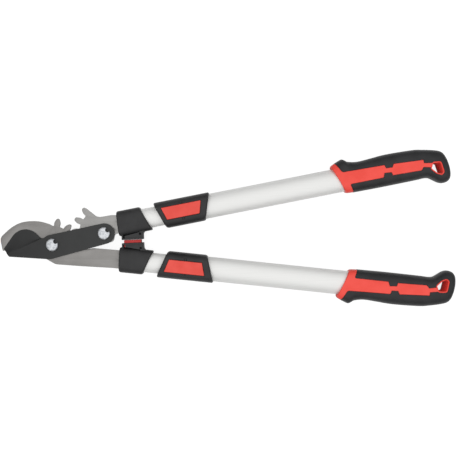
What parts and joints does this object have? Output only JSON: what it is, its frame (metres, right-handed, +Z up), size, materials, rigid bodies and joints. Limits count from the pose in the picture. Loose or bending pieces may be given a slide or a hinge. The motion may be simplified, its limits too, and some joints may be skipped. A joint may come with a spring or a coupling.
{
  "type": "telescopic lopper",
  "caption": "Long-handled bypass lopper with a gear-driven blade, a hooked counter jaw and telescopic oval tube handles with rocker locks and two-tone grips.",
  "frame": {"origin": "on the floor under the middle of the tool's box, lying on its side, closed and pushed in", "axes": "+X from the jaws to the grips midway between the handles, +Y to the upper handle, +Z up and square to the tool's plane"},
  "size_m": [0.6501, 0.2242, 0.0346],
  "materials": {
    "steel": "satin ground steel",
    "pale_steel": "pale satin steel",
    "blade_coating": "dark low-friction coating",
    "spring_steel": "plain spring steel",
    "zinc": "mottled zinc plate",
    "tube_aluminium": "satin silver",
    "dark_plastic": "matte moulded",
    "black_rubber": "soft overmould",
    "red_plastic": "hard moulded plastic",
    "red_rubber": "soft buffer"
  },
  "bodies": {
    "root": {"hook_tang": "steel", "lower_ferrule": "dark_plastic", "lower_tang_rivet_1": "zinc", "lower_tang_rivet_2": "zinc", "bumper_pad": "red_rubber", "lower_inner_tube": "tube_aluminium", "lower_tube_bush": "dark_plastic"},
    "blade": {"cutting_blade": "blade_coating", "rear_link": "blade_coating", "main_pivot_bolt": "zinc", "main_pivot_washer": "zinc", "main_pivot_nut": "zinc", "gear_pivot_bolt": "zinc", "gear_pivot_washer": "zinc", "gear_pivot_nut": "zinc"},
    "upper_shaft": {"upper_gear_tang": "pale_steel", "upper_ferrule": "dark_plastic", "upper_tang_rivet_1": "zinc", "upper_tang_rivet_2": "zinc", "upper_inner_tube": "tube_aluminium", "upper_tube_bush": "dark_plastic"},
    "lower_slider": {"lower_outer_tube": "tube_aluminium", "lower_lock_collar": "dark_plastic", "lower_grip_core": "red_plastic", "lower_grip_cover": "black_rubber", "lower_button_pin": "zinc", "lower_lock_spring": "spring_steel"},
    "upper_slider": {"upper_outer_tube": "tube_aluminium", "upper_lock_collar": "dark_plastic", "upper_grip_core": "red_plastic", "upper_grip_cover": "black_rubber", "upper_button_pin": "zinc", "upper_lock_spring": "spring_steel"},
    "lower_button": {"lower_lock_button": "red_plastic"},
    "upper_button": {"upper_lock_button": "red_plastic"}
  },
  "joints": [
    {"name": "blade_pivot", "type": "hinge", "parent": "root", "child": "blade", "pos_m": [-0.2505, 0, 0.016], "axis": [0, 0, 1], "range_deg": [0, 50]},
    {"name": "upper_handle_pivot", "type": "hinge", "parent": "blade", "child": "upper_shaft", "pos_m": [-0.17562, 0.013, 0.016], "axis": [0, 0, 1], "range_deg": [0, 37.5]},
    {"name": "lower_telescope", "type": "slide", "parent": "root", "child": "lower_slider", "axis": [0.9889, -0.1488, 0], "range_m": [0, 0.25], "deforming": ["lower_lock_spring"]},
    {"name": "upper_telescope", "type": "slide", "parent": "upper_shaft", "child": "upper_slider", "axis": [0.9889, 0.1488, 0], "range_m": [0, 0.25], "deforming": ["upper_lock_spring"]},
    {"name": "lower_release", "type": "hinge", "parent": "lower_slider", "child": "lower_button", "pos_m": [-0.06182, -0.03976, 0.0326], "axis": [0.1488, 0.9889, 0], "range_deg": [0, 3.5], "stiffness_Nm_per_rad": 0.4},
    {"name": "upper_release", "type": "hinge", "parent": "upper_slider", "child": "upper_button", "pos_m": [-0.06182, 0.03976, 0.0326], "axis": [-0.1488, 0.9889, 0], "range_deg": [0, 3.5], "stiffness_Nm_per_rad": 0.4}
  ],
  "couplings": [
    {"joint": "upper_handle_pivot", "follows": "blade_pivot", "ratio": 0.75}
  ]
}
